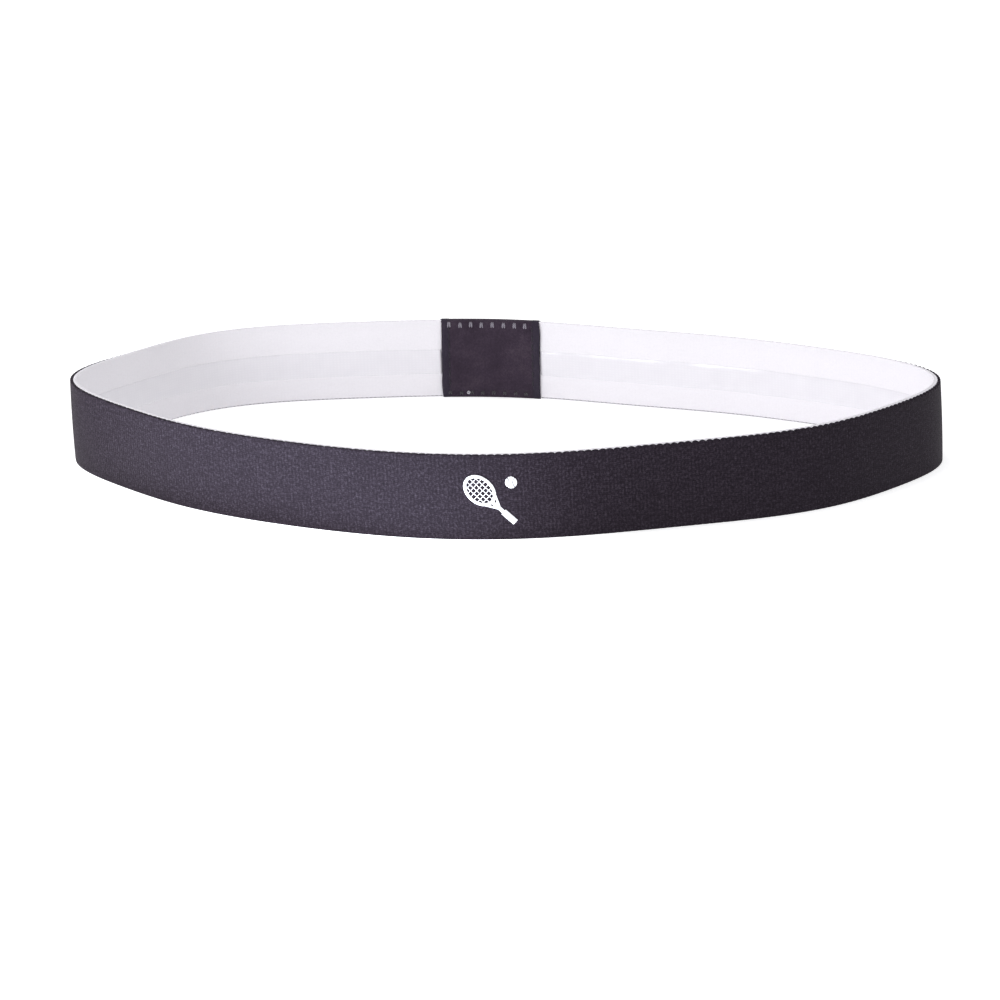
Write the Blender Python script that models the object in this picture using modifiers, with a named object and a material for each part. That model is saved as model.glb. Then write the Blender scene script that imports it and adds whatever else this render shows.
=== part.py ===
"""Sports headband: a narrow elastic loop standing on its lower edge.

Two webbing plies, with rubber cords and two binding yarns between them, are
closed into a loop by a butt join at the rear. A folded cover is sewn over the
join, a silicone strip grips the head inside, and a small print sits in front.
Frame: +Z up, the front faces -Y, the origin is under the middle of the loop.
All sizes are in metres.
"""
import math

import bmesh
import bpy
import numpy as np
from mathutils import Matrix, Vector

# ---- driving dimensions -------------------------------------------------
BAND_HEIGHT = 0.016         # webbing width, edge to edge
HALF_LENGTH = 0.0779        # loop, left to right, before the shape terms
HALF_DEPTH = 0.0558         # loop, front to back, before the shape terms
JOIN_X = -0.0030            # where the join and the print sit, left of centre

FACE_THICKNESS = 0.00045    # outer webbing ply
CORD_DIAMETER = 0.00038     # covered rubber cord
BACK_THICKNESS = 0.00045    # inner webbing ply
PLY_GAP = 0.00006           # between neighbours that touch on the real band
BACK_STEP = 0.0001          # each long edge of the inner ply, inside the outer's
EDGE_HEIGHT = 0.0008        # binding yarn between the plies, on each long edge
CORD_COUNT = 8

SEGMENTS = 120              # facets round the whole loop
JOIN_GAP = 0.0003           # between the two cut ends of the webbing
COVER_LENGTH = 0.0200       # along the band
COVER_THICKNESS = 0.00035
COVER_CLEARANCE = 0.0003    # room for the join thread on each side
COVER_TOP_GAP = 0.0001
COVER_FOOT = 0.0003         # open lower edge of the cover, above the base
GRIP_LOW = 0.0048           # silicone strip, from its lower edge
GRIP_HIGH = 0.0099
GRIP_THICKNESS = 0.00025
THREAD_DIAMETER = 0.0003
THREAD_GAP = 0.0001

PRINT_HEIGHT = 0.0075       # centre of the print above the base
PRINT_THICKNESS = 0.0002
PRINT_GAP = 0.0001
RACKET_TILT = math.radians(-44)     # direction of the handle
RACKET_CENTRE = (-0.0021, 0.0019)   # centre of the head, from the print's centre
HEAD_RADII = (0.0034, 0.0026)
HEAD_RIM = 0.0006
SHAFT_WIDTH = 0.0007
SHAFT_LENGTH = 0.0026
HANDLE_WIDTH = 0.0012
HANDLE_LENGTH = 0.0030
BALL_CENTRE = (0.0037, 0.0033)
BALL_RADIUS = 0.0011

BAND_THICKNESS = FACE_THICKNESS + CORD_DIAMETER + BACK_THICKNESS + 2 * PLY_GAP
BACK_INSET = FACE_THICKNESS + CORD_DIAMETER + 2 * PLY_GAP
COVER_SIDE = COVER_CLEARANCE + COVER_THICKNESS


# ---- the loop's outline -------------------------------------------------
def raw_outline(angle):
    """Outer face of the band at an angle: an oval with a few low waves."""
    shape = (1
             + 0.037 * np.cos(2 * angle)    # longer and narrower
             - 0.034 * np.sin(2 * angle)    # skewed, left front to right rear
             + 0.032 * np.cos(3 * angle)    # one end rounder than the other
             + 0.013 * np.sin(3 * angle)
             + 0.026 * np.cos(4 * angle)    # flatter flanks, tighter ends
             - 0.104 * np.sin(angle)        # front bows out, rear is flatter
             - 0.004 * np.sin(5 * angle)    # slight flats, as elastic relaxes
             + 0.003 * np.cos(6 * angle)
             + 0.009 * np.sin(6 * angle)
             + 0.011 * np.cos(8 * angle))
    return HALF_LENGTH * np.cos(angle) * shape, HALF_DEPTH * np.sin(angle) * shape


def measure_outline():
    """Lengths along the outline, from the join, through the left end."""
    angle = np.linspace(0, 2 * math.pi, 7201)
    x, y = raw_outline(angle)
    rear_proud = COVER_SIDE + THREAD_GAP + THREAD_DIAMETER
    front_proud = PRINT_GAP + PRINT_THICKNESS
    x = x - (x.max() + x.min()) / 2
    y = y - (y.max() + rear_proud + y.min() - front_proud) / 2
    rear = (angle > math.pi / 4) & (angle < 3 * math.pi / 4)
    start = np.argmin(np.where(rear, abs(x - JOIN_X), 1))
    x = np.append(np.roll(x[:-1], -start), x[start])
    y = np.append(np.roll(y[:-1], -start), y[start])
    length = np.append(0, np.cumsum(np.hypot(np.diff(x), np.diff(y))))
    return length, x, y


LENGTHS, OUTLINE_X, OUTLINE_Y = measure_outline()
PERIMETER = LENGTHS[-1]
STEP = PERIMETER / SEGMENTS


def place(along, inset, height):
    """Point on the band: length from the join, depth in from the outer face."""
    ends = [np.interp((along + side) % PERIMETER, LENGTHS, axis)
            for side in (-STEP / 8, STEP / 8) for axis in (OUTLINE_X, OUTLINE_Y)]
    tangent = Vector((ends[2] - ends[0], ends[3] - ends[1])).normalized()
    x = np.interp(along % PERIMETER, LENGTHS, OUTLINE_X) - tangent.y * inset
    y = np.interp(along % PERIMETER, LENGTHS, OUTLINE_Y) + tangent.x * inset
    return Vector((x, y, height))


def stations(start, end):
    """Lengths from start to end, with every facet corner between them."""
    first = math.floor(start / STEP + 1e-6) + 1
    last = math.ceil(end / STEP - 1e-6)
    return [start] + [STEP * i for i in range(first, last)] + [end]


LOOP_ENDS = (JOIN_GAP / 2, PERIMETER - JOIN_GAP / 2)


# ---- building blocks ----------------------------------------------------
def collection(name):
    made = bpy.data.collections.new(name)
    bpy.context.scene.collection.children.link(made)
    return made


def material(name, colour, roughness):
    made = bpy.data.materials.new(name)
    made.use_nodes = True
    shader = made.node_tree.nodes["Principled BSDF"]
    shader.inputs["Base Color"].default_value = (*colour, 1)
    shader.inputs["Roughness"].default_value = roughness
    shader.inputs["Metallic"].default_value = 0
    return made


def add_object(name, data, finish, group):
    part = bpy.data.objects.new(name, data)
    if finish:
        data.materials.append(finish)
    group.objects.link(part)
    return part


def ribbon(name, lengths, inset, thickness, low, high, finish, group):
    """Flat strip along the band: an edge chain drawn up, then thickened."""
    mesh = bpy.data.meshes.new(name)
    strip = bmesh.new()
    chain = [strip.verts.new(place(along, inset, low)) for along in lengths]
    edges = [strip.edges.new(pair) for pair in zip(chain, chain[1:])]
    drawn = bmesh.ops.extrude_edge_only(strip, edges=edges)
    top = [item for item in drawn["geom"] if isinstance(item, bmesh.types.BMVert)]
    bmesh.ops.translate(strip, verts=top, vec=(0, 0, high - low))
    strip.to_mesh(mesh)
    strip.free()
    part = add_object(name, mesh, finish, group)
    solid = part.modifiers.new("Thickness", "SOLIDIFY")
    solid.thickness = thickness
    solid.offset = 1
    solid.use_even_offset = True
    return part


def thread(name, route, diameter, finish, group):
    """Round cord or thread along a route of points."""
    curve = bpy.data.curves.new(name, "CURVE")
    curve.dimensions = "3D"
    curve.bevel_depth = diameter / 2
    curve.bevel_resolution = 0
    curve.use_fill_caps = True
    spline = curve.splines.new("POLY")
    spline.points.add(len(route) - 1)
    for point, position in zip(spline.points, route):
        point.co = (*position, 1)
    return add_object(name, curve, finish, group)


def flat_shape(name, outlines, thickness, finish, group):
    """Flat piece from closed outlines; an inner one is a hole."""
    curve = bpy.data.curves.new(name, "CURVE")
    curve.dimensions = "2D"
    curve.fill_mode = "BOTH"
    curve.extrude = thickness / 2
    for outline in outlines:
        spline = curve.splines.new("POLY")
        spline.points.add(len(outline) - 1)
        spline.use_cyclic_u = True
        for point, (x, y) in zip(spline.points, outline):
            point.co = (x, y, 0, 1)
    return add_object(name, curve, finish, group)


# ---- the pieces ---------------------------------------------------------
def build_webbing(parts, black, white, yarn):
    lengths = stations(*LOOP_ENDS)
    core = FACE_THICKNESS + PLY_GAP
    foot, top = BACK_STEP, BAND_HEIGHT - BACK_STEP
    ribbon("face_webbing", lengths, 0, FACE_THICKNESS, 0, BAND_HEIGHT, black, parts)
    ribbon("backing_webbing", lengths, BACK_INSET, BACK_THICKNESS, foot, top, white, parts)
    ribbon("lower_selvedge", lengths, core, CORD_DIAMETER, foot, EDGE_HEIGHT, yarn, parts)
    ribbon("upper_selvedge", lengths, core, CORD_DIAMETER, BAND_HEIGHT - EDGE_HEIGHT, top,
           yarn, parts)


def build_cords(parts, rubber):
    inset = FACE_THICKNESS + PLY_GAP + CORD_DIAMETER / 2
    pitch = (BAND_HEIGHT - 2 * EDGE_HEIGHT) / CORD_COUNT
    for i in range(CORD_COUNT):
        height = EDGE_HEIGHT + pitch * (i + 0.5)
        route = [place(along, inset, height) for along in stations(*LOOP_ENDS)]
        thread(f"elastic_cord_{i + 1}", route, CORD_DIAMETER, rubber, parts)


def build_grip(parts, silicone):
    clear = COVER_LENGTH / 2 + COVER_CLEARANCE
    ribbon("silicone_grip", stations(clear, PERIMETER - clear), BAND_THICKNESS + PLY_GAP,
           GRIP_THICKNESS, GRIP_LOW, GRIP_HIGH, silicone, parts)


def build_cover(parts, cutters, cloth):
    """Folded cover: closed over the top of the join, open at its lower edge."""
    lengths = stations(-COVER_LENGTH / 2, COVER_LENGTH / 2)
    top = BAND_HEIGHT + COVER_TOP_GAP
    cover = ribbon("join_cover", lengths, -COVER_SIDE, BAND_THICKNESS + 2 * COVER_SIDE,
                   COVER_FOOT, top + COVER_THICKNESS, cloth, parts)
    longer = [lengths[0] - STEP / 2] + lengths + [lengths[-1] + STEP / 2]
    inside = ribbon("cover_inside", longer, -COVER_CLEARANCE,
                    BAND_THICKNESS + 2 * COVER_CLEARANCE, -EDGE_HEIGHT, top, None, cutters)
    inside.hide_render = True
    inside.display_type = "WIRE"
    cut = cover.modifiers.new("Inside", "BOOLEAN")
    cut.operation = "DIFFERENCE"
    cut.object = inside


def build_threads(parts, yarn):
    proud = COVER_SIDE + THREAD_GAP + THREAD_DIAMETER / 2
    outer, inner = -proud, BAND_THICKNESS + proud
    low = EDGE_HEIGHT
    high = BAND_HEIGHT + COVER_TOP_GAP + COVER_THICKNESS + THREAD_GAP + THREAD_DIAMETER / 2
    corner = THREAD_DIAMETER
    seam = COVER_LENGTH / 2 - 4 * THREAD_DIAMETER
    for name, along in (("cover_seam_left", seam), ("cover_seam_right", -seam)):
        fold = [(outer, low), (outer, high - corner), (outer + corner, high),
                (inner - corner, high), (inner, high - corner), (inner, low)]
        thread(name, [place(along, *point) for point in fold], THREAD_DIAMETER, yarn, parts)

    reach = seam - 3 * THREAD_DIAMETER
    rows = (("cover_edge_stitch_upper", BAND_HEIGHT - EDGE_HEIGHT),
            ("cover_edge_stitch_lower", COVER_FOOT + EDGE_HEIGHT))
    for name, height in rows:
        route = [place(along, inner, height) for along in stations(-reach, reach)]
        thread(name, route, THREAD_DIAMETER, yarn, parts)

    middle = -COVER_CLEARANCE / 2
    ends = (2 * EDGE_HEIGHT, BAND_HEIGHT - 2 * EDGE_HEIGHT)
    thread("join_stitch", [place(0, middle, height) for height in ends],
           COVER_CLEARANCE / 2, yarn, parts)


def racket_outlines():
    """Head ring, shaft and handle as one outline with a hole."""
    turn = Matrix.Rotation(RACKET_TILT, 2)
    centre = Vector(RACKET_CENTRE)
    shaft, handle = SHAFT_WIDTH / 2, HANDLE_WIDTH / 2
    opening = math.asin(shaft / HEAD_RADII[1])
    outer = []
    for angle in np.linspace(opening, 2 * math.pi - opening, 25):
        outer.append((HEAD_RADII[0] * math.cos(angle), HEAD_RADII[1] * math.sin(angle)))
    shaft_end = HEAD_RADII[0] + SHAFT_LENGTH
    handle_end = shaft_end + HANDLE_LENGTH
    outer += [(shaft_end, -shaft), (shaft_end, -handle), (handle_end, -handle),
              (handle_end, handle), (shaft_end, handle), (shaft_end, shaft)]
    inner = []
    for angle in np.linspace(0, 2 * math.pi, 20, endpoint=False):
        inner.append(((HEAD_RADII[0] - HEAD_RIM) * math.cos(angle),
                      (HEAD_RADII[1] - HEAD_RIM) * math.sin(angle)))
    return [[tuple(centre + turn @ Vector(point)) for point in line] for line in (outer, inner)]


def build_print(parts, ink):
    """Racket and ball, flat against the front of the band."""
    front = PERIMETER / 4
    while place(front, 0, 0).x < place(0, 0, 0).x:
        front += STEP / 100
    ball = []
    for angle in np.linspace(0, 2 * math.pi, 16, endpoint=False):
        ball.append((BALL_CENTRE[0] + BALL_RADIUS * math.cos(angle),
                     BALL_CENTRE[1] + BALL_RADIUS * math.sin(angle)))
    along_band = (place(front + STEP, 0, 0) - place(front - STEP, 0, 0)).normalized()
    outward = along_band.cross(Vector((0, 0, 1)))
    turn = Matrix((along_band, Vector((0, 0, 1)), outward)).transposed()
    seat = place(front, -PRINT_GAP - PRINT_THICKNESS / 2, PRINT_HEIGHT)
    for name, outlines in (("emblem_racket", racket_outlines()), ("emblem_ball", [ball])):
        piece = flat_shape(name, outlines, PRINT_THICKNESS, ink, parts)
        piece.location = seat
        piece.rotation_euler = turn.to_euler()


def main():
    for item in list(bpy.data.objects):
        bpy.data.objects.remove(item, do_unlink=True)
    parts = collection("sports_headband")
    cutters = collection("cutters")
    black = material("black_webbing", (0.022, 0.020, 0.026), 0.85)
    white = material("white_webbing", (0.80, 0.80, 0.82), 0.85)
    rubber = material("natural_rubber", (0.62, 0.56, 0.44), 0.6)
    silicone = material("clear_silicone", (0.82, 0.83, 0.83), 0.25)
    cloth = material("black_cover_cloth", (0.016, 0.015, 0.018), 0.9)
    yarn = material("grey_thread", (0.42, 0.42, 0.46), 0.6)
    ink = material("white_print", (0.86, 0.86, 0.88), 0.45)
    build_webbing(parts, black, white, yarn)
    build_cords(parts, rubber)
    build_grip(parts, silicone)
    build_cover(parts, cutters, cloth)
    build_threads(parts, yarn)
    build_print(parts, ink)


main()
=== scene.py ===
"""Looks for the sports headband: woven plies, yarns, silicone, cover and print.

Everything is placed in band coordinates: the length along the band from the
rear join, the inset from the outer face, and the height above the floor.
"""
import math

import bpy
import numpy as np
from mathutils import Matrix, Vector


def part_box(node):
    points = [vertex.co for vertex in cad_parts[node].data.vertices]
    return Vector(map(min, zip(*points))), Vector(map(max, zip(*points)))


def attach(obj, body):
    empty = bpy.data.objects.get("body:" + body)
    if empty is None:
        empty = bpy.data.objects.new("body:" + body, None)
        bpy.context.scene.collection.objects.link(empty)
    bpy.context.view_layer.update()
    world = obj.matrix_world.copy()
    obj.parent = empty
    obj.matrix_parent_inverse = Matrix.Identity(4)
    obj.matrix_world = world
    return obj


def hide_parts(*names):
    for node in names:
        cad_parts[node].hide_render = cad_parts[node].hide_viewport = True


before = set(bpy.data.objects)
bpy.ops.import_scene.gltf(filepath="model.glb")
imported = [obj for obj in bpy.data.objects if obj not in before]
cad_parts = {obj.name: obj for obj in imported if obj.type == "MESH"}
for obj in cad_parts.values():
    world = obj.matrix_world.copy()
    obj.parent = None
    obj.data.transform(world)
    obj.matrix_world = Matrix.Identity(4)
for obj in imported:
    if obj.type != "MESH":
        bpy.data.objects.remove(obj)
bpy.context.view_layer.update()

MM = 0.001

# ---- sizes read from the frame ------------------------------------------
FACE_LOW, FACE_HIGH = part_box("face_webbing")
GRIP_LOW, GRIP_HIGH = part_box("silicone_grip")
BALL_LOW, BALL_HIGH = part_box("emblem_ball")
HEIGHT = FACE_HIGH.z

# ---- sizes of the webbing's build, as in the design ---------------------
HALF_LENGTH = 77.9 * MM
HALF_DEPTH = 55.8 * MM
JOIN_X = -3.0 * MM
FACE_THICKNESS = 0.45 * MM
CORE_THICKNESS = 0.38 * MM
BACK_THICKNESS = 0.45 * MM
PLY_GAP = 0.06 * MM
BACK_INSET = FACE_THICKNESS + CORE_THICKNESS + 2 * PLY_GAP
BAND_THICKNESS = BACK_INSET + BACK_THICKNESS
JOIN_GAP = 0.3 * MM
COVER_LENGTH = 20 * MM      # along the band
COVER_THICKNESS = 0.35 * MM
GRIP_THICKNESS = 0.2 * MM
GRIP_SUNK = 0.03 * MM
CORD_COUNT = 8

# ---- how the real band stands and is woven ------------------------------
LEAN = 0.75 * MM            # the upper edge stands this far to -X of the lower one
DISH = 0.12 * MM            # the middle of the width bows outward
RIB_PITCH = 0.70 * MM       # cross ribs, counted along the band
RIB_DEPTH = 0.02 * MM
RIB_SAMPLES = 4             # points round the loop for each rib
PLY_CORNER = 0.17 * MM      # rounding of a ply's four edges
PICOT_RIBS = 2              # ribs in each scallop of the edge
PICOT_DEPTH = 0.38 * MM     # typical notch between two scallops at the front right
EDGE_ROLL = 0.20 * MM       # how far the face's upper edge rolls over the binding yarn
FACE_TRIM = 0.26 * MM       # how far the face's upper edge stops short at the rear
BACK_TRIM = 0.28 * MM       # how far the backing's lower edge stops short
YARN_RADIUS = 0.36 * MM     # binding yarn in the band's two edges
YARN_INSET = 0.84 * MM
CORD_RADIUS = 0.18 * MM     # wrapped rubber threads
COVER_GAP = 0.14 * MM       # between the band and the cover's legs
COVER_HALF = COVER_LENGTH / 2 + 0.25 * MM   # with the slack its stitches pull out of it
COVER_PINCH = 0.36 * MM     # how far the cover's fold squeezes the webbing's upper edge
COVER_SKEW = 0.21 * MM      # the cover was sewn on this much out of square
RANDOM = np.random.default_rng(7)


# ---- band coordinates ---------------------------------------------------
def outline():
    """The loop's outer face, as the design draws it, from the rear join."""
    angle = np.linspace(0, 2 * math.pi, 7201)
    shape = (1
             + 0.037 * np.cos(2 * angle)
             - 0.034 * np.sin(2 * angle)
             + 0.032 * np.cos(3 * angle)
             + 0.013 * np.sin(3 * angle)
             + 0.026 * np.cos(4 * angle)
             - 0.104 * np.sin(angle)
             - 0.004 * np.sin(5 * angle)
             + 0.003 * np.cos(6 * angle)
             + 0.009 * np.sin(6 * angle)
             + 0.011 * np.cos(8 * angle))
    x = HALF_LENGTH * np.cos(angle) * shape
    y = HALF_DEPTH * np.sin(angle) * shape
    x += (FACE_LOW.x + FACE_HIGH.x - x.max() - x.min()) / 2
    y += (FACE_LOW.y + FACE_HIGH.y - y.max() - y.min()) / 2
    rear = (angle > math.pi / 4) & (angle < 3 * math.pi / 4)
    start = np.argmin(np.where(rear, abs(x - JOIN_X), 1))
    x = np.append(np.roll(x[:-1], -start), x[start])
    y = np.append(np.roll(y[:-1], -start), y[start])
    along = np.append(0, np.cumsum(np.hypot(np.diff(x), np.diff(y))))
    return along, x, y


ALONG, LINE_X, LINE_Y = outline()
PERIMETER = ALONG[-1]
RIB_COUNT = PICOT_RIBS * round(PERIMETER / RIB_PITCH / PICOT_RIBS)
RIB = PERIMETER / RIB_COUNT
PICOT = RIB * PICOT_RIBS
QUARTER = len(ALONG) // 4
FRONT = ALONG[QUARTER + np.argmax(LINE_X[QUARTER:] > JOIN_X)]   # opposite the join


def read(length, line):
    """x or y of the outer face at a length along the band."""
    return np.interp(np.mod(length, PERIMETER), ALONG, line)


def place(along, inset, height):
    """World points for band coordinates, which are arrays or numbers."""
    along, inset, height = np.broadcast_arrays(*map(np.asarray, (along, inset, height)))
    step = 0.5 * MM
    tangent_x = read(along + step, LINE_X) - read(along - step, LINE_X)
    tangent_y = read(along + step, LINE_Y) - read(along - step, LINE_Y)
    size = np.hypot(tangent_x, tangent_y)
    across = 2 * height / HEIGHT - 1
    deep = inset - DISH * (1 - across ** 2)
    x = read(along, LINE_X) - tangent_y / size * deep - LEAN * across / 2
    y = read(along, LINE_Y) + tangent_x / size * deep
    return np.stack([x, y, height + 0 * x], -1)


def smooth_step(low, high, value):
    """0 at low and 1 at high, which may be the smaller of the two, and smooth between."""
    t = np.clip((value - low) / (high - low), 0, 1)
    return t * t * (3 - 2 * t)


NOTCHES = RANDOM.uniform(0.45, 1.35, round(PERIMETER / PICOT) + 1)


def scallop(along):
    """0 on the crown of each picot, up to about 1 in the notch between two.

    The notches are shallow from the rear join round to the front, deep at the front
    right and half as deep at the rear right.
    """
    share = along / PERIMETER
    depth = 0.25 + 0.75 * smooth_step(0.45, 0.60, share) - 0.5 * smooth_step(0.80, 0.95, share)
    depth = depth * NOTCHES[np.floor(along / PICOT).astype(int)]
    return depth * (1 - np.abs(np.cos(math.pi * along / PICOT)) ** 0.6)


def under_cover(along):
    """1 where the cover wraps the band, 0 away from it."""
    from_join = np.minimum(along, PERIMETER - along)
    return smooth_step(COVER_HALF - 0.3 * MM, COVER_HALF - 1.3 * MM, from_join)


def rib_crown(along):
    """1 on the crown of each rib, 0 in the groove."""
    return 0.5 + 0.5 * np.cos(2 * math.pi * along / RIB)


# ---- mesh building ------------------------------------------------------
class Skin:
    """Rings of points joined into closed tubes, collected into one mesh."""

    def __init__(self):
        self.points, self.faces, self.maps = [], [], []
        self.count = 0

    def tube(self, rings, u, v):
        """rings is (n, m, 3). u and v are (n, m + 1) pattern coordinates."""
        n, m = rings.shape[:2]
        i, j = np.meshgrid(np.arange(n - 1), np.arange(m), indexing="ij")
        k = (j + 1) % m
        quads = np.stack([i * m + j, (i + 1) * m + j, (i + 1) * m + k, i * m + k], -1)
        coords = np.stack([np.stack([a[i, j], a[i + 1, j], a[i + 1, j + 1], a[i, j + 1]], -1)
                           for a in (u, v)], -1)
        quads, coords = quads.reshape(-1, 4), coords.reshape(-1, 4, 2)
        flat = rings.reshape(-1, 3)
        caps = [np.arange(m), np.arange(m)[::-1] + (n - 1) * m]
        centre = flat.mean(0)
        a, b, c, d = (flat[quads[:, corner]] - centre for corner in range(4))
        volume = (np.cross(a, b) * c).sum() + (np.cross(a, c) * d).sum()
        if volume < 0:      # every face has to look outward
            quads, coords = quads[:, ::-1], coords[:, ::-1]
            caps = [cap[::-1] for cap in caps]
        self.points.append(flat)
        self.faces += (quads + self.count).tolist()
        self.faces += [(cap + self.count).tolist() for cap in caps]
        self.maps.append(coords.reshape(-1, 2))
        for row in (0, -1):
            self.maps.append(np.stack([u[row, :-1], v[row, :-1]], -1))
        self.count += len(flat)

    def object(self, name, finish):
        """The collected tubes as one smooth object."""
        mesh = bpy.data.meshes.new(name)
        mesh.from_pydata(np.concatenate(self.points).tolist(), [], self.faces)
        layer = mesh.uv_layers.new(name="band")
        layer.data.foreach_set("uv", np.concatenate(self.maps).ravel().astype(np.float32))
        mesh.materials.append(finish)
        mesh.shade_smooth()
        made = bpy.data.objects.new(name, mesh)
        bpy.context.scene.collection.objects.link(made)
        return made


def band_section(name, along, inset, height, finish):
    """A closed section (inset, height), each (n, m), carried along the band."""
    skin = Skin()
    rings = place(along[:, None], inset, height)
    wrap = np.concatenate([height, height[:, :1]], 1)
    u = np.repeat(along[:, None] / RIB, wrap.shape[1], 1)
    skin.tube(rings, u, wrap / RIB)
    return skin.object(name, finish)


def cord_along(skin, route, radius, sides=8):
    """Round yarn of a radius, or of one radius a point, along a route."""
    route = np.asarray(route, float)
    radius = np.broadcast_to(radius, len(route))
    tangent = np.gradient(route, axis=0)
    tangent /= np.linalg.norm(tangent, axis=1)[:, None]
    up = np.where(abs(tangent[:, 2:]) > 0.9, [[1.0, 0, 0]], [[0, 0, 1.0]])
    side = np.cross(tangent, up)
    side /= np.linalg.norm(side, axis=1)[:, None]
    top = np.cross(side, tangent)
    angle = np.linspace(0, 2 * math.pi, sides, endpoint=False)
    rings = (route[:, None] + radius[:, None, None]
             * (np.cos(angle)[:, None] * side[:, None] + np.sin(angle)[:, None] * top[:, None]))
    length = np.append(0, np.cumsum(np.linalg.norm(np.diff(route, axis=0), axis=1)))
    u = np.repeat(length[:, None] / (2 * radius.max()), sides + 1, 1)
    v = np.repeat(np.linspace(0, 1, sides + 1)[None], len(route), 0)
    skin.tube(rings, u, v)


def round_end(count):
    """Radius shares that close a thread's two ends to a soft point."""
    t = np.linspace(-1, 1, count)
    return np.clip(1 - t ** 6, 0.12, 1) ** 0.5


# ---- materials ----------------------------------------------------------
class Nodes:
    """Short names for building one material's nodes."""

    def __init__(self, name):
        self.material = bpy.data.materials.new(name)
        self.material.use_nodes = True
        self.tree = self.material.node_tree
        self.shader = self.tree.nodes["Principled BSDF"]

    def set(self, socket, value):
        if isinstance(value, bpy.types.NodeSocket):
            self.tree.links.new(value, socket)
        else:
            socket.default_value = value

    def finish(self, **values):
        """Sets the shader's own sockets."""
        for name, value in values.items():
            self.set(self.shader.inputs[name.replace("_", " ")], value)
        return self.material

    def add(self, kind, output=0, **settings):
        """One output of a new node, with its settings and, as inputs, its sockets' values."""
        made = self.tree.nodes.new("ShaderNode" + kind)
        inputs = settings.pop("inputs", {})
        for name, value in settings.items():
            setattr(made, name, value)
        for name, value in inputs.items():
            self.set(made.inputs[name], value)
        return made.outputs[output]

    def math(self, operation, *values, clamp=False):
        return self.add("Math", operation=operation, use_clamp=clamp,
                        inputs=dict(enumerate(values)))

    def x_and_y(self, vector):
        split = self.tree.nodes.new("ShaderNodeSeparateXYZ")
        self.set(split.inputs[0], vector)
        return split.outputs[0], split.outputs[1]

    def band(self):
        """Pattern coordinates: ribs along the band and up its width."""
        return self.x_and_y(self.add("UVMap", uv_map="band"))

    def vector(self, x, y, z=0.0):
        return self.add("CombineXYZ", inputs={0: x, 1: y, 2: z})

    def object_point(self):
        return self.add("TexCoord", output="Object")

    def noise(self, point, scale, detail=2.0, roughness=0.5):
        return self.add("TexNoise", inputs={"Vector": point, "Scale": scale, "Detail": detail,
                                            "Roughness": roughness})

    def scatter(self, x, y):
        """A steady random value from 0 to 1 for each pair of whole numbers."""
        return self.add("TexWhiteNoise", noise_dimensions="2D",
                        inputs={"Vector": self.vector(x, y)})

    def wave(self, value):
        """1 at each whole number, and 0 halfway between two."""
        turn = self.math("MULTIPLY", value, 2 * math.pi)
        return self.math("MULTIPLY_ADD", self.math("COSINE", turn), 0.5, 0.5)

    def step(self, value, low, high):
        """0 at low, rising smoothly to 1 at high."""
        return self.add("MapRange", interpolation_type="SMOOTHSTEP",
                        inputs={"Value": value, "From Min": low, "From Max": high})

    def ramp(self, value, *stops):
        made = self.tree.nodes.new("ShaderNodeValToRGB")
        self.set(made.inputs[0], value)
        marks = made.color_ramp.elements
        while len(marks) < len(stops):
            marks.new(0.5)
        for mark, (position, colour) in zip(marks, stops):
            mark.position = position
            mark.color = (*colour, 1)
        return made.outputs[0]

    def mix(self, share, first, second):
        made = self.tree.nodes.new("ShaderNodeMix")
        made.data_type = "RGBA"
        self.set(made.inputs[0], share)
        colour_a, colour_b = made.inputs[6:8]
        for socket, value in ((colour_a, first), (colour_b, second)):
            self.set(socket, (*value, 1) if isinstance(value, tuple) else value)
        colour_result = made.outputs[2]
        return colour_result

    def bump(self, height, distance):
        return self.add("Bump", inputs={"Height": height, "Distance": distance, "Strength": 1.0})


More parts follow.
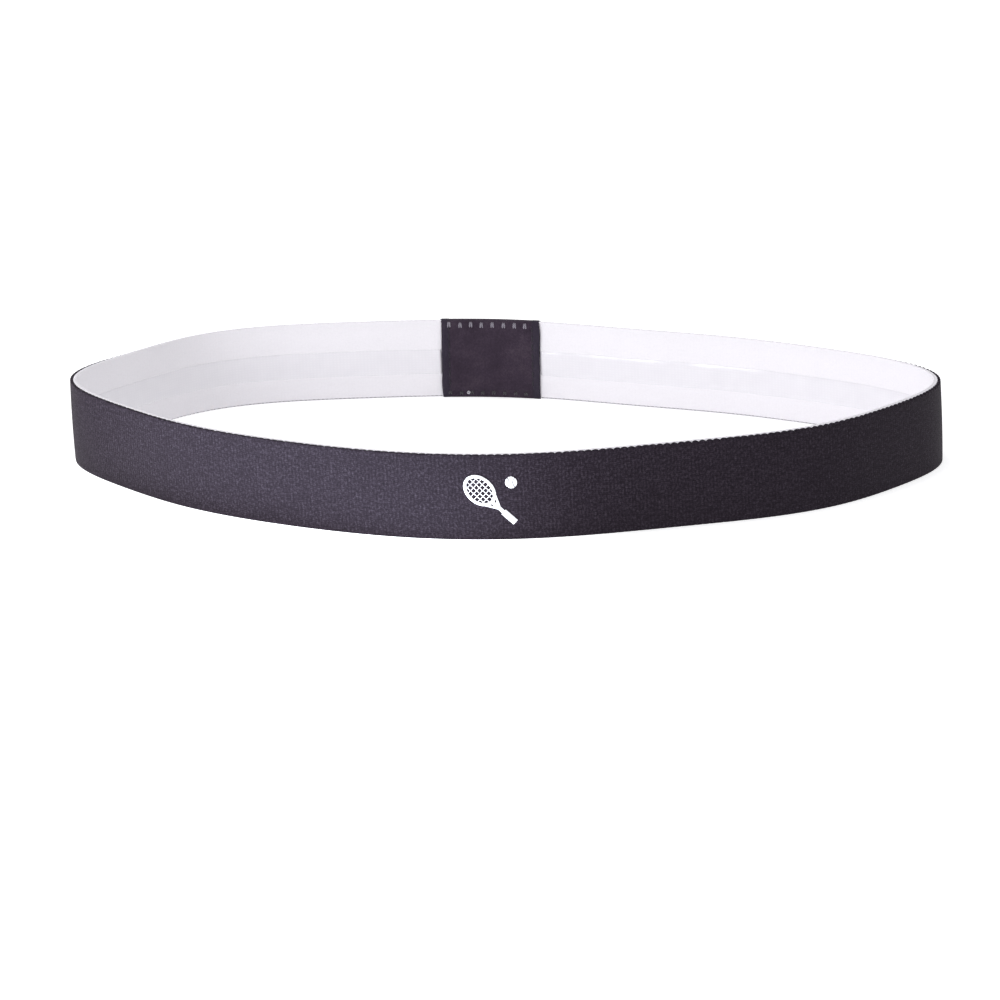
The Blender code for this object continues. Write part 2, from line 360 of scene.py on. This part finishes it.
def webbing_material(name, groove_shade, yarn, glint_highlight, contrast, depth, roughness, shine):
    """Knitted elastic: faint ribs across the band, each a chain of uneven small loops; its colour
    has painted shade in the grooves and painted glint highlights.
    """
    n = Nodes(name)
    along, up = n.band()
    loops_a_pitch = 1.9
    rib_tone, loop_tone, random_tone, fibre_tone, mean_tone = 0.12, 0.15, 0.22, 2.7, 0.85
    lint_from, lint_gain = 0.80, 12.0
    rib = n.math("FLOOR", n.math("ADD", along, 0.5))
    place_in_rib = n.math("MULTIPLY_ADD", up, loops_a_pitch, n.scatter(rib, 0.0))
    loop = n.scatter(rib, n.math("FLOOR", place_in_rib))
    # Darker between ribs and between loops: painted shade in the knit's grooves, which also shapes
    # the bump.
    weave_relief_and_shade = n.math("MULTIPLY",
                   n.math("MULTIPLY_ADD", n.wave(along), rib_tone, 1 - rib_tone),
                   n.math("MULTIPLY_ADD", n.wave(place_in_rib), loop_tone, 1 - loop_tone))
    fibre = n.noise(n.vector(along, n.math("MULTIPLY", up, 0.8)), 1.8, 5.0, 0.78)
    tone = n.math("MULTIPLY_ADD", n.math("SUBTRACT", loop, 0.5), random_tone, weave_relief_and_shade)
    tone = n.math("MULTIPLY_ADD", n.math("SUBTRACT", fibre, 0.5), fibre_tone, tone)
    tone = n.math("MULTIPLY_ADD", n.math("SUBTRACT", tone, mean_tone), contrast, 0.5)
    # The ramp runs from painted groove shade through the yarn's own colour to a painted glint
    # highlight; loop and fibre noise add random tone.
    colour = n.ramp(tone, (0.0, groove_shade), (0.5, yarn), (1.0, glint_highlight))
    lint = n.noise(n.vector(n.math("MULTIPLY", along, 0.16), n.math("MULTIPLY", up, 2.2)), 0.9, 1.0)
    past_limit = n.math("SUBTRACT", lint, lint_from, clamp=True)
    # Pale lint flecks, coloured with the painted glint highlight.
    colour = n.mix(n.math("MULTIPLY", past_limit, lint_gain, clamp=True), colour, glint_highlight)
    height = n.math("ADD", n.math("MULTIPLY", loop, 0.3), n.math("ADD", weave_relief_and_shade, fibre))
    return n.finish(Base_Color=colour, Roughness=roughness, Specular_IOR_Level=shine,
                    Normal=n.bump(height, depth))


def cover_material():
    """Dense tape, woven flat, a little darker and bluer where it is hemmed."""
    n = Nodes("cover_tape")
    along, up = n.band()
    threads_a_pitch = 1.9
    twill = n.wave(n.math("MULTIPLY", n.math("ADD", along, up), threads_a_pitch))
    cross = n.wave(n.math("MULTIPLY", n.math("SUBTRACT", along, up), threads_a_pitch))
    fibre = n.noise(n.object_point(), 2600.0, 3.0, 0.6)
    worn = n.noise(n.object_point(), 240.0, 2.0)
    tone = n.math("ADD", n.math("MULTIPLY", fibre, 0.6), n.math("MULTIPLY", worn, 0.55))
    colour = n.ramp(tone, (0.3, (0.034, 0.024, 0.037)), (0.60, (0.053, 0.038, 0.057)),
                    (0.9, (0.084, 0.064, 0.083)))
    past_hem = n.math("SUBTRACT", n.math("ABSOLUTE", along), (COVER_HALF - 1.6 * MM) / RIB)
    hem = n.math("ADD", past_hem, 0.4, clamp=True)
    colour = n.mix(n.math("MULTIPLY", hem, 0.4), colour, (0.034, 0.036, 0.052))
    height = n.math("MULTIPLY_ADD", n.math("ADD", twill, cross), 0.35, fibre)
    return n.finish(Base_Color=colour, Roughness=0.88, Sheen_Weight=0.05, Sheen_Roughness=0.5,
                    Specular_IOR_Level=0.2, Normal=n.bump(height, 0.05 * MM))


def yarn_material(name, dark, light):
    """Twisted thread: slanting strands and loose fibre."""
    n = Nodes(name)
    along, around = n.band()
    strand = n.wave(n.math("ADD", n.math("MULTIPLY", along, 0.8), n.math("MULTIPLY", around, 3.0)))
    fibre = n.noise(n.object_point(), 4200.0, 3.0, 0.6)
    tone = n.math("MULTIPLY_ADD", n.math("SUBTRACT", fibre, 0.5), 0.8, strand)
    return n.finish(Base_Color=n.ramp(tone, (0.1, dark), (0.8, light)), Roughness=0.6,
                    Sheen_Weight=0.2, Normal=n.bump(n.math("ADD", strand, fibre), 0.03 * MM))


def silicone_material():
    """Clear gel strip over white knit: wet-looking, a trace greyer than the knit."""
    n = Nodes("grip_gel")
    along, up = n.band()
    knit = n.math("MULTIPLY", n.wave(along), n.wave(n.math("MULTIPLY", up, 1.4)))
    flow = n.noise(n.object_point(), 420.0, 3.0, 0.5)
    tone = n.math("MULTIPLY_ADD", knit, 0.3, n.math("MULTIPLY", flow, 0.7))
    colour = n.ramp(tone, (0.2, (0.695, 0.681, 0.713)), (0.8, (0.732, 0.719, 0.746)))
    return n.finish(Base_Color=colour, Roughness=n.math("MULTIPLY_ADD", flow, 0.14, 0.14),
                    Specular_IOR_Level=0.5, Normal=n.bump(flow, 0.04 * MM))


def print_material():
    """White transfer film, with the ribs showing faintly through it."""
    n = Nodes("print_film")
    along = n.band()[0]
    grain = n.noise(n.object_point(), 1500.0, 3.0, 0.6)
    rib = n.math("MULTIPLY_ADD", n.wave(along), 0.5, grain)
    colour = n.ramp(grain, (0.25, (0.80, 0.80, 0.83)), (0.75, (0.90, 0.90, 0.92)))
    return n.finish(Base_Color=colour, Roughness=n.math("MULTIPLY_ADD", grain, 0.2, 0.38),
                    Normal=n.bump(rib, 0.02 * MM))


def rubber_material():
    """Natural rubber core under a thin wrapped cover."""
    n = Nodes("wrapped_rubber")
    along, around = n.band()
    wrap = n.wave(n.math("ADD", n.math("MULTIPLY", along, 1.5), around))
    stain = n.noise(n.object_point(), 300.0, 2.0)
    colour = n.mix(n.math("MULTIPLY", wrap, 0.6), (0.62, 0.56, 0.44), (0.80, 0.79, 0.76))
    colour = n.mix(n.math("MULTIPLY", stain, 0.3), colour, (0.50, 0.44, 0.34))
    return n.finish(Base_Color=colour, Roughness=0.62, Normal=n.bump(wrap, 0.03 * MM))


def floor_material():
    """White table lit from within, most strongly outside the loop's front left.

    Inside the loop, its left end gets none of that light, and the rest gets a share.
    """
    n = Nodes("pale_floor")
    even_light, pool_light, inner_share = 0.60, 3.9, 0.35
    x, y = n.x_and_y(n.object_point())
    around = n.add("VectorMath", output="Value", operation="LENGTH",
                   inputs={0: n.vector(n.math("DIVIDE", x, HALF_LENGTH),
                                       n.math("DIVIDE", y, HALF_DEPTH))})
    inside = n.math("MULTIPLY", n.step(x, -85 * MM, -45 * MM), inner_share)
    reach = n.math("MAXIMUM", n.step(around, 0.9, 1.15), inside)
    pool = n.math("MULTIPLY", n.step(x, 25 * MM, -15 * MM), n.step(y, 20 * MM, -60 * MM))
    pool = n.math("MULTIPLY", pool, reach)
    cloud = n.noise(n.object_point(), 3.0, 3.0)
    colour = n.ramp(cloud, (0.3, (0.65, 0.65, 0.66)), (0.7, (0.67, 0.67, 0.67)))
    return n.finish(Base_Color=colour, Roughness=0.85, Specular_IOR_Level=0.1,
                    Emission_Color=n.mix(pool, (1.0, 1.0, 1.0), (0.92, 1.01, 1.09)),
                    Emission_Strength=n.math("MULTIPLY_ADD", pool, pool_light, even_light))


# ---- the webbing --------------------------------------------------------
def rib_stations(samples=RIB_SAMPLES):
    """Lengths along the band, from one cut end at the join to the other."""
    start = JOIN_GAP / 2
    end = PERIMETER - start
    return np.linspace(start, end, int(round((end - start) / RIB * samples)) + 1)


def ply_section(thickness):
    """Inset and height round a ply: outer side up, over, inner side down."""
    low, high = PLY_CORNER, HEIGHT - PLY_CORNER
    outer_side, inner_side = np.linspace(low, high, 27), np.linspace(high, low, 7)
    turn = np.radians([30, 60])
    cut, bulge = PLY_CORNER * (1 - np.cos(turn)), PLY_CORNER * np.sin(turn)
    inset = [0 * outer_side, cut, thickness - cut[::-1],
             thickness + 0 * inner_side, thickness - cut, cut[::-1]]
    height = [outer_side, high + bulge, high + bulge[::-1],
              inner_side, low - bulge, low - bulge[::-1]]
    return np.concatenate(inset), np.concatenate(height)


def build_ply(name, inset, thickness, trim, showing, finish, notch, relief, roll=0.0):
    """One ply, showing its outer side (1) or its inner one (-1).

    trim and notch shorten its (upper, lower) edge. The upper trim is for the rear, and
    fades out towards the loop's two ends. roll carries the ply's upper edge inward.
    """
    along = rib_stations()[:, None]
    depth, height = ply_section(thickness)
    behind = depth if showing > 0 else thickness - depth
    shown = 1 - smooth_step(0.05 * MM, 0.25 * MM, behind)
    edge = np.abs(2 * height / HEIGHT - 1)
    soft = 1 - 0.6 * smooth_step(0.90, 1.0, edge)
    uneven = 0.2 * np.sin(along / RIB * 0.37 + height / RIB * 0.31)
    sunk = relief * (1 + uneven - rib_crown(along)) * shown * soft
    reach = smooth_step(0.93, 1.0, edge)
    from_join = np.minimum(along, PERIMETER - along) / PERIMETER
    near_join = smooth_step(0.26, 0.17, from_join)
    upper = trim[0] * near_join + notch[0] * scallop(along) + COVER_PINCH * under_cover(along)
    lower = trim[1] + notch[1] * scallop(along)
    shrink = reach * np.where(height > HEIGHT / 2, upper, -lower)
    rolled = roll * reach * (height > HEIGHT / 2) * depth / thickness
    surface = inset + depth + rolled + showing * sunk
    return band_section(name, along[:, 0], surface, height - shrink, finish)


def build_edge_yarn(name, top, finish):
    """Binding yarn between the plies, pushed out a little at each rib's crown."""
    along = rib_stations()
    upper_gap, lower_gap = 0.02 * MM, 0.04 * MM
    rise = 0.02 * MM * rib_crown(along)
    if top:
        height = HEIGHT - YARN_RADIUS - upper_gap + rise - COVER_PINCH * under_cover(along)
    else:
        height = YARN_RADIUS + lower_gap - rise
    skin = Skin()
    cord_along(skin, place(along, YARN_INSET, height), YARN_RADIUS)
    return skin.object(name, finish)


def build_cords(finish):
    """Wrapped rubber threads between the plies."""
    along = rib_stations(samples=1)
    inset = FACE_THICKNESS + PLY_GAP + CORE_THICKNESS / 2
    for i in range(CORD_COUNT):
        low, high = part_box(f"elastic_cord_{i + 1}")
        skin = Skin()
        cord_along(skin, place(along, inset, (low.z + high.z) / 2), CORD_RADIUS, sides=6)
        cord = skin.object(f"rubber_cord_{i + 1}", finish)
        settle(cord, f"elastic_cord_{i + 1}")


def build_grip(finish):
    """Gel strip that thins out towards its two slightly wavy edges and on the left."""
    start = COVER_HALF + 0.05 * MM
    along = np.arange(start, PERIMETER - start, 0.5 * MM)[:, None]
    half = (GRIP_HIGH.z - GRIP_LOW.z) / 2
    middle = (GRIP_HIGH.z + GRIP_LOW.z) / 2
    taper = np.array([0, 0.1, 0.2, 0.35, 0.5, 0.7, 0.9, 1.1])   # in from the edge, in mm
    flat_from = 1.7
    across = half - np.append(taper, flat_from) * MM
    rise = np.append(np.sin(taper / taper[-1] * math.pi / 2), 1)
    across, rise = np.append(across, -across[::-1]), np.append(rise, rise[::-1])
    swell = 0.7 + 0.3 * np.sin(along / (2.3 * MM)) * np.sin(along / (7.3 * MM) + 1)
    swell *= 0.3 + 0.7 * smooth_step(0.35, 0.75, along / PERIMETER)
    gel = GRIP_SUNK + (GRIP_THICKNESS - GRIP_SUNK) * rise * swell
    inset = BAND_THICKNESS - GRIP_SUNK + np.concatenate([gel, np.zeros_like(gel)], 1)
    ripple = 1 + 0.012 * np.sin(along / (3.1 * MM)) + 0.010 * np.sin(along / (1.3 * MM) + 1)
    height = middle + np.append(across, across[::-1]) * ripple
    return band_section("grip_strip", along[:, 0], inset, height, finish)


# ---- the join -----------------------------------------------------------
def cover_path(count):
    """Middle of the cover's cloth: up the outside, over the fold, down the inside."""
    outer = -COVER_GAP - COVER_THICKNESS / 2
    inner = BAND_THICKNESS + COVER_GAP + COVER_THICKNESS / 2
    foot, top = 0.10 * MM, HEIGHT - 0.12 * MM
    corner = 0.62 * MM
    turn = np.linspace(0, math.pi / 2, 9)
    inset = np.concatenate([[outer], outer + corner * (1 - np.cos(turn)),
                            inner - corner * (1 - np.cos(turn[::-1])), [inner]])
    height = np.concatenate([[foot], top - corner * (1 - np.sin(turn)),
                             top - corner * (1 - np.sin(turn[::-1])), [foot]])
    length = np.append(0, np.cumsum(np.hypot(np.diff(inset), np.diff(height))))
    even = np.linspace(0, length[-1], count)
    inset, height = np.interp(even, length, inset), np.interp(even, length, height)
    out_inset, out_height = -np.gradient(height), np.gradient(inset)
    size = np.hypot(out_inset, out_height)
    return even, inset, height, out_inset / size, out_height / size


COVER_PATH = cover_path(count=190)
COVER_WIDTH = COVER_PATH[0][-1]
HEM = COVER_HALF - 1.5 * MM     # the seams' distance from the cover's middle


def on_cover(along, path, lift):
    """World points at a lift from the middle of the cover's cloth."""
    inset, height, out_inset, out_height = (np.interp(path, COVER_PATH[0], line)
                                            for line in COVER_PATH[1:])
    skew = COVER_SKEW * (1 - 2 * height / HEIGHT)
    return place(along + skew, inset + out_inset * lift, height + out_height * lift)


def cover_pull(along, path):
    """How far stitches draw the cover's cloth in, from 0 to 1."""
    from_end = np.minimum(path, COVER_WIDTH - path)
    at_seams = np.exp(-((np.abs(along) - HEM) / (0.45 * MM)) ** 2)
    at_feet = 0.7 * np.exp(-((from_end - 0.9 * MM) / (0.5 * MM)) ** 2)
    at_fold = np.exp(-((from_end - COVER_WIDTH / 2) / (1.6 * MM)) ** 2)
    return np.maximum(np.maximum(at_seams, at_feet), at_fold)


def build_cover(finish):
    """Puffed cloth, drawn in along its seams, with wavering ends."""
    path = COVER_PATH[0]
    along = np.linspace(-COVER_HALF, COVER_HALF, 118)[:, None]
    from_edge = COVER_HALF - np.abs(along)
    puff = 0.10 * MM * (1 - cover_pull(along, path)) - 0.05 * MM
    hem = 0.05 * MM * smooth_step(1.7 * MM, 1.4 * MM, from_edge)
    thin_end = smooth_step(0, 0.3 * MM, from_edge) * 0.6 + 0.4
    waver = 0.08 * MM * np.sin(path / (1.15 * MM)) + 0.07 * MM * np.sin(path / (2.3 * MM) + 2)
    shift = along + waver * smooth_step(2 * MM, 0, from_edge)
    outer = on_cover(shift, path, (COVER_THICKNESS / 2 + puff + hem) * thin_end)
    inner = on_cover(shift, path, -COVER_THICKNESS / 2 * thin_end)
    rings = np.concatenate([outer, inner[:, ::-1]], 1)
    v = np.concatenate([path, path[::-1], path[:1]]) / RIB
    skin = Skin()
    skin.tube(rings, np.repeat(along / RIB, len(v), 1), np.repeat(v[None], len(along), 0))
    return skin.object("join_tape", finish)


def stitch(skin, start, end, radius, sunk):
    """One visible stitch between two (along, path) points, bowed off the cover."""
    count = 9
    t = np.linspace(0, 1, count)
    along, path = (a + (b - a) * t for a, b in zip(start, end))
    bow = 0.12 * MM * (np.sin(math.pi * t) - 0.5)
    lift = COVER_THICKNESS / 2 - sunk + bow
    cord_along(skin, on_cover(along, path, lift), radius * round_end(count))


def build_seam(name, along, finish):
    """Row of dark stitches over the whole cover, close to its end."""
    skin = Skin()
    pitch, length, radius, sunk = 1.9 * MM, 1.5 * MM, 0.13 * MM, 0.05 * MM
    for start in np.arange(0.8 * MM, COVER_WIDTH - 2 * MM, pitch):
        stitch(skin, (along, start), (along, start + length), radius, sunk)
    return skin.object(name, finish)


def build_edge_stitches(name, start, length, finish):
    """Short upright stitches of doubled thread on both legs of the cover.

    start is how far each one begins along the cover's path, from the leg's foot.
    """
    skin = Skin()
    pitch, count, row_shift = 2.28 * MM, 8, 0.75 * MM
    radius, sunk = 0.17 * MM, 0.03 * MM
    for i in range(count):
        along = (i - (count - 1) / 2) * pitch + row_shift + 0.07 * MM * math.sin(5.0 * i)
        low = start + 0.08 * MM * math.sin(3.0 * i)
        far_low = COVER_WIDTH - low
        for strand in (-1, 1):
            foot, tip = along + strand * 0.24 * MM, along + strand * 0.13 * MM
            stitch(skin, (foot, low), (tip, low + length), radius, sunk)
            stitch(skin, (foot, far_low), (tip, far_low - length), radius, sunk)
    return skin.object(name, finish)


def build_knot(finish):
    """Thread end, left showing near the cover's lower edge."""
    skin = Skin()
    turn = np.linspace(0, 4 * math.pi, 41)
    share = turn / turn[-1]
    reach = 0.26 * MM * (1 - 0.3 * share)
    along = 4.9 * MM + reach * np.cos(turn)
    path = COVER_WIDTH - 0.9 * MM + reach * np.sin(turn)
    route = on_cover(along, path, COVER_THICKNESS / 2 + 0.2 * MM * share)
    cord_along(skin, route, 0.15 * MM * round_end(len(turn)))
    return skin.object("thread_knot", finish)


def build_join_stitch(finish):
    """Zigzag that holds the two cut ends together, under the cover."""
    count, steps, end, reach = 26, 4, 1.5 * MM, 1.3 * MM
    height = np.linspace(end, HEIGHT - end, count * steps + 1)
    swing = np.abs((np.arange(count * steps + 1) / steps) % 2 - 1) * 2 - 1
    skin = Skin()
    cord_along(skin, place(swing * reach, -0.05 * MM, height), 0.07 * MM, sides=6)
    return skin.object("join_zigzag", finish)


# ---- the print ----------------------------------------------------------
FILM = 0.12 * MM
PRINT_HEIGHT = 7.5 * MM     # of the print's middle


def film_patch(skin, left, right, thickness=FILM):
    """Closed film between two lines of points on the band's front.

    A point is (length along the band from the front's middle, height).
    """
    left, right = np.array(left, float), np.array(right, float)
    middle = (left + right) / 2
    base = -0.01 * MM
    rings = []
    for line, depth in ((left, base), (left, base - thickness), (middle, base - thickness),
                        (right, base - thickness), (right, base)):
        rings.append(place(FRONT + line[:, 0], depth, line[:, 1]))
    rings = np.stack(rings, 1)
    lines = np.stack([left, left, middle, right, right, left], 1) / RIB
    skin.tube(rings, lines[:, :, 0], lines[:, :, 1])


def build_racket(finish):
    """Racket: ring, strings, throat, shaft and handle, drawn level and then tilted."""
    centre = np.array([-2.05, 1.85]) * MM
    tilt = math.radians(-44)
    turn = np.array([[math.cos(tilt), -math.sin(tilt)], [math.sin(tilt), math.cos(tilt)]])
    long, wide, rim = 3.3 * MM, 2.52 * MM, 0.58 * MM
    shaft, handle = 5.8 * MM, 8.75 * MM

    def turned(points):
        points = np.array(points, float) @ turn.T + centre
        points[:, 1] += PRINT_HEIGHT
        return points

    def bar(start, end, width, thickness):
        start, end = np.array(start), np.array(end)
        steps = max(2, int(np.linalg.norm(end - start) / (0.4 * MM)) + 1)
        line = start + (end - start) * np.linspace(0, 1, steps)[:, None]
        side = np.array([start[1] - end[1], end[0] - start[0]])
        side = side / np.linalg.norm(side) * width / 2
        film_patch(skin, turned(line - side), turned(line + side), thickness)

    skin = Skin()
    angle = np.linspace(0, 2 * math.pi, 61)
    round_line = np.stack([np.cos(angle), np.sin(angle)], 1)
    film_patch(skin, turned(round_line * (long - rim, wide - rim)),
               turned(round_line * (long, wide)))
    inner_long, inner_wide = long - rim / 2, wide - rim / 2
    string, spacing, thin = 0.15 * MM, 0.78 * MM, FILM * 0.75
    for across in (np.arange(4) - 1.5) * spacing:
        reach = inner_long * math.sqrt(1 - (across / inner_wide) ** 2)
        bar((-reach, across), (reach, across), string, thin)
    for down in (np.arange(6) - 2.5) * spacing:
        reach = inner_wide * math.sqrt(1 - (down / inner_long) ** 2)
        bar((down, -reach), (down, reach), string, thin * 0.9)
    for side in (-1, 1):
        throat_start = 2.6 * MM, side * 1.3 * MM
        throat_end = 4.8 * MM, side * 0.1 * MM
        bar(throat_start, throat_end, 0.42 * MM, FILM * 0.9)
    bar((long - rim / 2, 0), (shaft + rim / 2, 0), 0.7 * MM, FILM * 0.95)
    bar((shaft, 0), (handle, 0), 1.2 * MM, FILM)
    return skin.object("print_racket", finish)


def build_ball(finish):
    """Ball: a disc parted by two curved seams."""
    centre_x = (BALL_LOW.x + BALL_HIGH.x) / 2 - JOIN_X
    centre_z = (BALL_LOW.z + BALL_HIGH.z) / 2
    radius = (BALL_HIGH.z - BALL_LOW.z) / 2
    nearly = 0.96       # the patches stop just short of the disc's poles
    angle = np.linspace(-nearly, nearly, 17) * math.pi / 2
    height = radius * np.sin(angle)
    reach = radius * np.cos(angle)
    seam = 0.30 * radius + 0.45 * radius * (height / radius) ** 2
    half_gap = 0.06 * MM
    edges = [-reach, np.maximum(-seam - half_gap, -reach), np.maximum(half_gap - seam, -reach),
             np.minimum(seam - half_gap, reach), np.minimum(seam + half_gap, reach), reach]
    skin = Skin()
    for i in (0, 2, 4):
        left = np.stack([centre_x + edges[i], centre_z + height], 1)
        right = np.stack([centre_x + edges[i + 1], centre_z + height], 1)
        wide = right[:, 0] - left[:, 0] > 0.02 * MM
        film_patch(skin, left[wide], right[wide])
    return skin.object("print_ball", finish)


# ---- putting it together ------------------------------------------------
def settle(piece, node):
    """The piece stands for a node of the band's one body."""
    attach(piece, "root")
    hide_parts(node)
    return piece


def build_webbing():
    # For both knits the groove colours are painted shade and the glint colours painted highlight.
    black = webbing_material("black_webbing", groove_shade=(0.0085, 0.0065, 0.0095),
                             yarn=(0.027, 0.020, 0.029), glint_highlight=(0.092, 0.077, 0.099),
                             contrast=0.58, depth=0.06 * MM, roughness=0.58, shine=0.10)
    white = webbing_material("white_webbing", groove_shade=(0.701, 0.686, 0.712),
                             yarn=(0.752, 0.736, 0.763), glint_highlight=(0.787, 0.771, 0.799),
                             contrast=0.4, depth=0.008 * MM, roughness=0.8, shine=0.2)
    face = build_ply("face_knit", 0, FACE_THICKNESS, trim=(FACE_TRIM, 0), showing=1,
                     finish=black, notch=(PICOT_DEPTH, 0.04 * MM), relief=RIB_DEPTH,
                     roll=EDGE_ROLL)
    settle(face, "face_webbing")
    back = build_ply("backing_knit", BACK_INSET, BACK_THICKNESS, trim=(0, BACK_TRIM), showing=-1,
                     finish=white, notch=(0.02 * MM, 0.03 * MM), relief=RIB_DEPTH / 3)
    settle(back, "backing_webbing")

    light_yarn = yarn_material("edge_yarn", (0.72, 0.705, 0.745), (0.85, 0.835, 0.875))
    # The lower edge yarn's dark grey is painted shade: it draws a dark line along the band's lower
    # edge where it meets the floor.
    shade_painted_yarn = yarn_material("lower_edge_yarn", (0.22, 0.215, 0.235), (0.42, 0.41, 0.44))
    upper_yarn = build_edge_yarn("upper_edge_yarn", top=True, finish=light_yarn)
    settle(upper_yarn, "upper_selvedge")
    lower_yarn = build_edge_yarn("lower_edge_yarn", top=False, finish=shade_painted_yarn)
    settle(lower_yarn, "lower_selvedge")
    build_cords(rubber_material())
    settle(build_grip(silicone_material()), "silicone_grip")


def build_join():
    grey_thread = yarn_material("stitch_thread", (0.14, 0.125, 0.15), (0.34, 0.32, 0.37))
    pale_thread = yarn_material("thread_end", (0.30, 0.29, 0.32), (0.62, 0.60, 0.64))
    dim_thread = yarn_material("dim_thread", (0.03, 0.026, 0.034), (0.085, 0.075, 0.090))
    dark_thread = yarn_material("seam_thread", (0.010, 0.009, 0.016), (0.026, 0.022, 0.034))

    cover = settle(build_cover(cover_material()), "join_cover")
    settle(build_seam("left_seam", HEM, dark_thread), "cover_seam_left")
    settle(build_seam("right_seam", -HEM, dark_thread), "cover_seam_right")
    upper = build_edge_stitches("upper_edge_stitches", start=COVER_WIDTH / 2 - 2.17 * MM,
                                length=1.15 * MM, finish=grey_thread)
    settle(upper, "cover_edge_stitch_upper")
    lower = build_edge_stitches("lower_edge_stitches", start=0.5 * MM, length=0.7 * MM,
                                finish=dim_thread)
    settle(lower, "cover_edge_stitch_lower")
    settle(build_knot(pale_thread), "cover_edge_stitch_lower")
    settle(build_join_stitch(dark_thread), "join_stitch")


def build_print():
    film = print_material()
    settle(build_racket(film), "emblem_racket")
    settle(build_ball(film), "emblem_ball")


def build_stage():
    """Wide pale table under the band."""
    bpy.ops.mesh.primitive_plane_add(size=8)
    floor = bpy.context.object
    floor.name = "floor"
    floor.data.materials.append(floor_material())


def area_light(name, position, target, size, power, colour=(1, 1, 1)):
    """Round soft lamp, turned to its target."""
    lamp = bpy.data.lights.new(name, "AREA")
    lamp.shape = "DISK"
    lamp.size = size
    lamp.energy = power
    lamp.color = colour
    made = bpy.data.objects.new(name, lamp)
    made.location = position
    made.rotation_euler = (Vector(target) - Vector(position)).to_track_quat("-Z", "Y").to_euler()
    bpy.context.scene.collection.objects.link(made)


def build_world():
    """Pale sky, brightest at the horizon and dimmer towards +X."""
    world = bpy.data.worlds.new("studio")
    world.use_nodes = True
    tree = world.node_tree
    sky = tree.nodes["Background"]
    coords = tree.nodes.new("ShaderNodeTexCoord")
    direction = tree.nodes.new("ShaderNodeSeparateXYZ")
    tree.links.new(coords.outputs["Generated"], direction.inputs[0])

    ramp = tree.nodes.new("ShaderNodeValToRGB")
    low, high = ramp.color_ramp.elements
    low.position = 0.12
    low.color = (1, 1, 1, 1)
    high.position = 0.45
    high.color = (0.66, 0.66, 0.67, 1)
    tree.links.new(direction.outputs["Z"], ramp.inputs[0])
    tree.links.new(ramp.outputs[0], sky.inputs["Color"])

    shade = tree.nodes.new("ShaderNodeMapRange")
    shade.interpolation_type = "SMOOTHSTEP"
    for name, value in (("From Min", 0.2), ("From Max", 0.9), ("To Min", 1.0), ("To Max", 0.62)):
        shade.inputs[name].default_value = value
    tree.links.new(direction.outputs["X"], shade.inputs["Value"])
    tree.links.new(shade.outputs[0], sky.inputs["Strength"])
    bpy.context.scene.world = world


def build_light():
    """Sky, a weak low lamp at the front left and a wide one overhead."""
    build_world()
    area_light("key", (-0.46, -0.50, 0.14), (0, 0, 0.008), size=0.22, power=1.7,
               colour=(0.97, 0.97, 1.0))
    area_light("overhead", (0, 0.05, 0.7), (0, 0, 0), size=0.5, power=1.8)
    bpy.context.scene.view_settings.view_transform = "Standard"
    bpy.context.scene.view_settings.gamma = 0.85


def build_camera():
    """Camera in front, looking down a little, aimed below the loop's middle."""
    distance, elevation = 0.97, math.radians(14.9)
    aim = Vector((-1.39, 3.78, -8.42)) * MM
    lens = bpy.data.cameras.new("camera")
    lens.lens = 179.7
    lens.sensor_width = 36
    camera = bpy.data.objects.new("camera", lens)
    camera.location = aim + distance * Vector((0, -math.cos(elevation), math.sin(elevation)))
    camera.rotation_euler = (math.pi / 2 - elevation, 0, 0)
    bpy.context.scene.collection.objects.link(camera)
    bpy.context.scene.camera = camera


build_camera()
build_stage()
build_light()
build_webbing()
build_join()
build_print()
